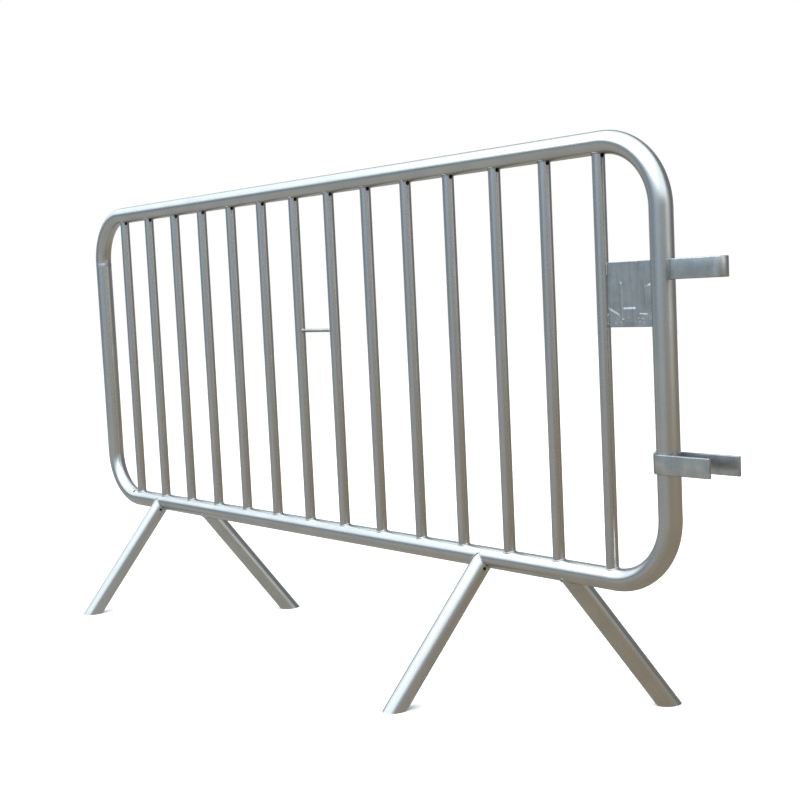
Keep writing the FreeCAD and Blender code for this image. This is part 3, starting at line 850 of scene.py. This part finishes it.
def makeButtWeld():
    # a low swelling dressed nearly flush, where the bent tube's ends meet
    low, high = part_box("frame_butt_weld")
    level = (high.z + low.z) / 2
    half, proud, sunk = buttWeld["half"], buttWeld["proud"], buttWeld["sunk"]
    swell = []
    for step in range(-5, 6):
        share = step / 5
        swell.append((share * half, proud * (1 - share ** 2) ** 2 - buttWeld["rim"]))
    work, uvLayer = startMesh()
    rings = []
    for k in range(buttWeld["sides"]):
        turn = fullTurn * k / buttWeld["sides"]
        way = Vector((math.cos(turn), math.sin(turn), 0))
        lift = Vector((middleX - postReach, 0, level + buttWeld["wander"] * noise.noise(way * 3)))
        girth = 1 + buttWeld["uneven"] * noise.noise(way * 6 + Vector((0, 0, 4)))
        section = [(up, out * girth) for up, out in swell] + [(half, -sunk), (-half, -sunk)]
        rings.append([lift + way * (tubeRadius + out) + Vector((0, 0, up)) for up, out in section])
    bandsOf(work, rings, True, uvLayer)
    return newPiece("frameButtWeld", work, "weld", ["frame_butt_weld"])


makeFrameTube()
print("frame tube bent and drilled")
for number in range(len(barNames)):
    makeBar(number)
print("infill bars coped and drilled")
for node, place in legPlaces.items():
    makeLeg(node, place)
makeCrossPin()
print("legs and cross pin cut")
makeHook()
makeClip()
makePlate()
print("hook, clip and plate formed")
makeBarWelds("barWeldsTop", topZ, False, "bar_welds_top")
makeBarWelds("barWeldsBottom", lowZ, True, "bar_welds_bottom")
makeLegWelds()
makePinWelds()
makePlateWelds()
makeHookWeld()
makeClipWelds()
makeButtWeld()
print("welds laid")


studio = {
    "floorSize": 14.0,
    "floorSeen": (0.99, 0.95, 0.94),
    "floorRough": 0.9,
    "floorGlowCool": (0.45, 0.45, 0.42),    # painted reflection: the floor glows with this for every ray but the camera's, so the zinc mirrors it and is lit from below by it, on the left and in front
    "floorGlowWarm": (0.37, 0.31, 0.225),   # and on the right and behind
    "warmWay": (0.8, 0.6, 0.0),
    "warmReach": (-1.2, 1.4),           # metres along that way where it starts and ends to warm
    "ceiling": (1.42, 1.58, 1.66),
    "wallTop": (0.14, 0.36),            # sines of the angles where the walls end and the ceiling is full
    "darkWay": (0.0, 0.84, -0.54),      # behind, the walls reach up to a slanting edge
    "darkEdge": (-0.04, 0.06),
    # the walls that the zinc mirrors, by degrees round the studio from the barrier's right end
    "walls": (
        (-180, (0.36, 0.44, 0.50)), (-134, (0.17, 0.24, 0.30)), (-94, (0.42, 0.52, 0.63)),
        (-53, (0.29, 0.34, 0.38)), (-21, (0.38, 0.40, 0.40)), (8, (0.92, 0.94, 0.90)),
        (28, (0.56, 0.58, 0.58)), (53, (0.17, 0.17, 0.17)), (160, (0.46, 0.47, 0.49)),
    ),
}


def rangeNode(tree, source, low, high, floorValue=0.0, topValue=1.0):
    node = addNode(tree, "ShaderNodeMapRange", interpolation_type="SMOOTHSTEP")
    node.inputs["From Min"].default_value = low
    node.inputs["From Max"].default_value = high
    node.inputs["To Min"].default_value = floorValue
    node.inputs["To Max"].default_value = topValue
    tree.links.new(source, node.inputs["Value"])
    return node.outputs["Result"]


def dotNode(tree, source, way):
    node = addNode(tree, "ShaderNodeVectorMath", operation="DOT_PRODUCT")
    node.inputs[1].default_value = way
    tree.links.new(source, node.inputs[0])
    return node.outputs["Value"]


def mixColour(tree, factor, a, b):
    node = addNode(tree, "ShaderNodeMix", data_type="RGBA")
    tree.links.new(factor, node.inputs["Factor"])
    for name, value in (("A", a), ("B", b)):
        socket = [one for one in node.inputs if one.name == name and one.type == "RGBA"][0]
        if isinstance(value, tuple):
            socket.default_value = (*value, 1)
        else:
            tree.links.new(value, socket)
    return [one for one in node.outputs if one.type == "RGBA"][0]


def makeFloor():
    size = studio["floorSize"]
    mesh = bpy.data.meshes.new("floor")
    corners = [(-size, -size, 0), (size, -size, 0), (size, size, 0), (-size, size, 0)]
    mesh.from_pydata(corners, [], [(0, 1, 2, 3)])
    floor = bpy.data.objects.new("floor", mesh)
    scene.collection.objects.link(floor)
    made = bpy.data.materials.new("floorPaintAndGlow")
    made.use_nodes = True
    tree = made.node_tree
    link = tree.links.new
    shader = tree.nodes["Principled BSDF"]
    shader.inputs["Base Color"].default_value = (*studio["floorSeen"], 1)
    shader.inputs["Roughness"].default_value = studio["floorRough"]
    shader.inputs["Specular IOR Level"].default_value = 0.0
    place = addNode(tree, "ShaderNodeTexCoord")
    warmth = dotNode(tree, place.outputs["Object"], studio["warmWay"])
    across = rangeNode(tree, warmth, *studio["warmReach"])
    # painted reflection: for every ray but the camera's the floor glows, cool on the left and in front,
    # warm on the right and behind; the camera sees only the pale paint
    mirrored = addNode(tree, "ShaderNodeEmission")
    link(mixColour(tree, across, studio["floorGlowCool"], studio["floorGlowWarm"]), mirrored.inputs["Color"])
    path = addNode(tree, "ShaderNodeLightPath")
    pick = addNode(tree, "ShaderNodeMixShader")
    link(path.outputs["Is Camera Ray"], pick.inputs["Fac"])
    link(mirrored.outputs["Emission"], pick.inputs[1])
    link(shader.outputs["BSDF"], pick.inputs[2])
    link(pick.outputs["Shader"], tree.nodes["Material Output"].inputs["Surface"])
    mesh.materials.append(made)
    return floor


def makeSky():
    world = bpy.data.worlds.new("studioSky")
    scene.world = world
    world.use_nodes = True
    tree = world.node_tree
    link = tree.links.new
    tree.nodes.clear()
    out = addNode(tree, "ShaderNodeOutputWorld")
    place = addNode(tree, "ShaderNodeTexCoord")
    way = place.outputs["Generated"]
    above = rangeNode(tree, dotNode(tree, way, (0, 0, 1)), *studio["wallTop"])
    ahead = rangeNode(tree, dotNode(tree, way, studio["darkWay"]), *studio["darkEdge"], 1.0, 0.0)
    upward = addNode(tree, "ShaderNodeMath", operation="MULTIPLY")
    link(above, upward.inputs[0])
    link(ahead, upward.inputs[1])
    axes = addNode(tree, "ShaderNodeSeparateXYZ")
    link(way, axes.inputs["Vector"])
    bearing = addNode(tree, "ShaderNodeMath", operation="ARCTAN2")
    link(axes.outputs["Y"], bearing.inputs[0])
    link(axes.outputs["X"], bearing.inputs[1])
    share = addNode(tree, "ShaderNodeMapRange")
    share.inputs["From Min"].default_value = -math.pi
    share.inputs["From Max"].default_value = math.pi
    link(bearing.outputs["Value"], share.inputs["Value"])
    walls = addNode(tree, "ShaderNodeValToRGB")
    while len(walls.color_ramp.elements) < len(studio["walls"]):
        walls.color_ramp.elements.new(0.5)
    for element, (degrees, colour) in zip(walls.color_ramp.elements, studio["walls"]):
        element.position = (degrees + 180) / 360
        element.color = (*colour, 1)
    link(share.outputs["Result"], walls.inputs["Fac"])
    lit = addNode(tree, "ShaderNodeBackground", Strength=1.0)
    mirrored = mixColour(tree, upward.outputs["Value"], walls.outputs["Color"], studio["ceiling"])
    link(mirrored, lit.inputs["Color"])
    seen = addNode(tree, "ShaderNodeBackground", Strength=1.0)
    seen.inputs["Color"].default_value = (1, 1, 1, 1)
    path = addNode(tree, "ShaderNodeLightPath")
    pick = addNode(tree, "ShaderNodeMixShader")
    link(path.outputs["Is Camera Ray"], pick.inputs["Fac"])
    link(lit.outputs["Background"], pick.inputs[1])
    link(seen.outputs["Background"], pick.inputs[2])
    link(pick.outputs["Shader"], out.inputs["Surface"])


overheadBox = {
    "at": (0.2, -1.4, 3.4), "aim": (0, 0, 0.6),
    "size": (5.0, 3.4), "power": 190, "colour": (0.88, 0.97, 1.0),
}


def makeLight():
    light = bpy.data.lights.new("overheadBox", "AREA")
    light.shape = "RECTANGLE"
    light.size, light.size_y = overheadBox["size"]
    light.energy = overheadBox["power"]
    light.color = overheadBox["colour"]
    lamp = bpy.data.objects.new("overheadBox", light)
    scene.collection.objects.link(lamp)
    lamp.location = overheadBox["at"]
    toward = Vector(overheadBox["aim"]) - lamp.location
    lamp.rotation_euler = toward.to_track_quat("-Z", "Y").to_euler()
    lamp.visible_camera = False


makeFloor()
makeSky()
makeLight()
print("floor and light ready")


view = {
    "stand": (2.3459, -1.8099, 0.8310),     # from the middle of the barrier's foot line
    "turn": 48.831, "tilt": 4.789, "roll": -2.785,
    "lens": 57.85, "sensor": 36.0,
}


def makeCamera():
    camera = bpy.data.objects.new("camera", bpy.data.cameras.new("camera"))
    camera.data.lens = view["lens"]
    camera.data.sensor_width = view["sensor"]
    turn = Matrix.Rotation(math.radians(view["turn"]), 4, "Z")
    tilt = Matrix.Rotation(math.radians(90 - view["tilt"]), 4, "X")
    roll = Matrix.Rotation(math.radians(view["roll"]), 4, "Z")
    stand = Vector(view["stand"]) + Vector((middleX, 0, 0))
    camera.matrix_world = Matrix.Translation(stand) @ turn @ tilt @ roll
    scene.collection.objects.link(camera)
    scene.camera = camera


makeCamera()
print("camera ready")
